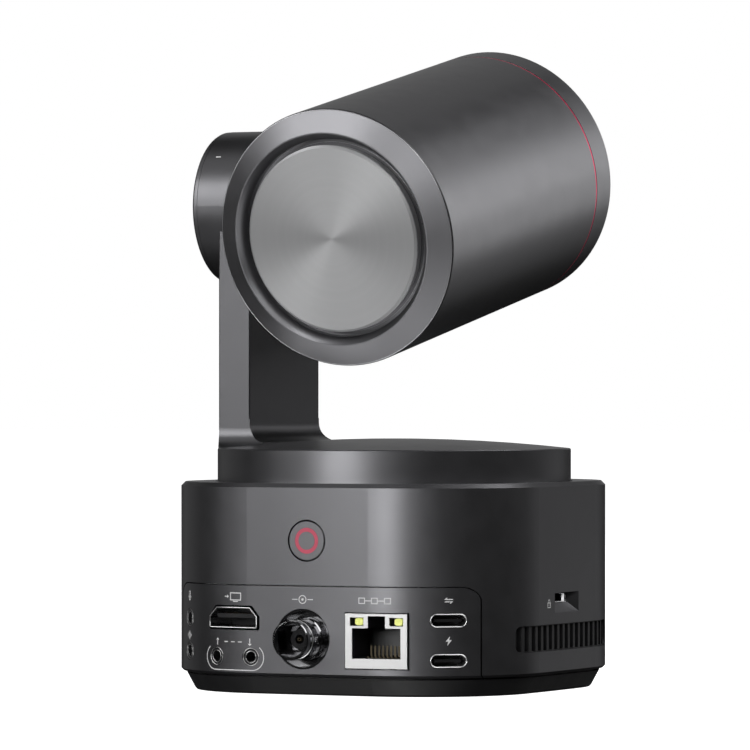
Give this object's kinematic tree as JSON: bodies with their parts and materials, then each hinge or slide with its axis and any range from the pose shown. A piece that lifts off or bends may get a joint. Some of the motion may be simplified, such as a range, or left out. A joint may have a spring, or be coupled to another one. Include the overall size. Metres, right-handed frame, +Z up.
{
  "type": "pan tilt zoom camera",
  "caption": "Pan, tilt and roll video camera: a round zoom barrel on a one-armed turntable, over a rounded-square base with a rear interface panel, side vents and a tripod thread.",
  "frame": {"origin": "on the pan axis, at the mouth of the tripod thread in the base's underside, which is level with the rubber feet", "axes": "+Z up along the pan axis, the lens looks towards -Y, the interface panel is on +Y and the arm is on +X"},
  "size_m": [0.0946, 0.1032, 0.1583],
  "materials": {
    "housing_metal": "satin",
    "panel_metal": "satin",
    "foot_plastic": "matte",
    "rubber": "matte",
    "steel": "satin",
    "grille": "matte",
    "bright_shell": "satin",
    "chrome": "polished",
    "contact": "polished",
    "black_insulator": "satin",
    "black_plastic": "satin",
    "lamp": "glossy",
    "circuit_board": "satin",
    "cast_alloy": "matte",
    "winding": "satin",
    "magnet": "satin",
    "button_cap": "satin",
    "red_light": "satin",
    "flex_cable": "satin",
    "spun_disc": "spun",
    "red_trim": "satin",
    "front_glass": "glossy",
    "lens_glass": "coated"
  },
  "bodies": {
    "base": {"base_housing": "housing_metal", "io_panel": "panel_metal", "bottom_cover": "foot_plastic", "rubber_feet": "rubber", "tripod_bush": "steel", "bottom_screws": "steel", "vent_grille_left": "grille", "vent_grille_right": "grille", "lock_plate": "steel", "hdmi_shell": "bright_shell", "hdmi_tongue": "black_plastic", "sdi_cup": "chrome", "sdi_jack": "chrome", "sdi_insulator": "black_insulator", "sdi_contact": "contact", "lan_shield": "bright_shell", "lan_insert": "black_plastic", "lan_contacts": "contact", "lan_lamps": "lamp", "usb_shells": "bright_shell", "usb_tongues": "black_plastic", "serial_jacks": "black_plastic", "audio_jacks": "black_plastic", "port_boards": "circuit_board", "button_switch": "black_plastic", "main_board": "circuit_board", "heat_sink": "cast_alloy", "fan_frame": "black_plastic", "pan_chassis": "cast_alloy", "pan_bearing": "steel", "pan_stator": "winding"},
    "fan": {"fan_rotor": "black_plastic"},
    "button": {"power_button": "button_cap", "button_light_ring": "red_light"},
    "yoke": {"pan_rotor": "magnet", "pan_shaft": "steel", "yoke_arm": "housing_metal", "hub_cap": "housing_metal", "turntable_floor": "cast_alloy", "arm_cable": "flex_cable", "tilt_stator": "winding"},
    "barrel": {"barrel_shell": "housing_metal", "rear_bezel": "housing_metal", "rear_disc": "spun_disc", "red_ring": "red_trim", "tilt_neck": "cast_alloy", "roll_bearing": "steel", "roll_stator": "winding", "head_board": "circuit_board"},
    "lens_module": {"roll_rotor": "magnet", "front_bezel": "housing_metal", "lens_housing": "cast_alloy", "front_glass": "front_glass", "front_lens": "lens_glass", "guide_rods": "steel", "sensor_board": "circuit_board"},
    "zoom_group": {"zoom_lens": "lens_glass", "zoom_carrier": "black_plastic"},
    "focus_group": {"focus_lens": "lens_glass", "focus_carrier": "black_plastic"}
  },
  "joints": [
    {"name": "pan", "type": "hinge", "parent": "base", "child": "yoke", "pos_m": [0, 0, 0.05], "axis": [0, 0, 1], "range_deg": [-160, 160]},
    {"name": "tilt", "type": "hinge", "parent": "yoke", "child": "barrel", "pos_m": [0.03899, -0.00095, 0.11885], "axis": [-0.9997, 0.0244, 0], "range_deg": [-51.4, 78.6]},
    {"name": "roll", "type": "hinge", "parent": "barrel", "child": "lens_module", "pos_m": [-0.0071, 0.00017, 0.11885], "axis": [-0.0239, -0.9795, 0.2002], "range_deg": [-90, 90]},
    {"name": "zoom_travel", "type": "slide", "parent": "lens_module", "child": "zoom_group", "axis": [-0.0239, -0.9795, 0.2002], "range_m": [-0.005, 0.014]},
    {"name": "focus_travel", "type": "slide", "parent": "lens_module", "child": "focus_group", "axis": [-0.0239, -0.9795, 0.2002], "range_m": [-0.0045, 0.0045]},
    {"name": "button_press", "type": "slide", "parent": "base", "child": "button", "axis": [0, -1, 0], "range_m": [0, 0.0006], "stiffness_N_per_m": 500, "springref_m": -0.0008},
    {"name": "fan_spin", "type": "hinge", "parent": "base", "child": "fan", "pos_m": [-0.021, -0.021, 0.0135], "axis": [0, 0, 1], "continuous": true}
  ]
}
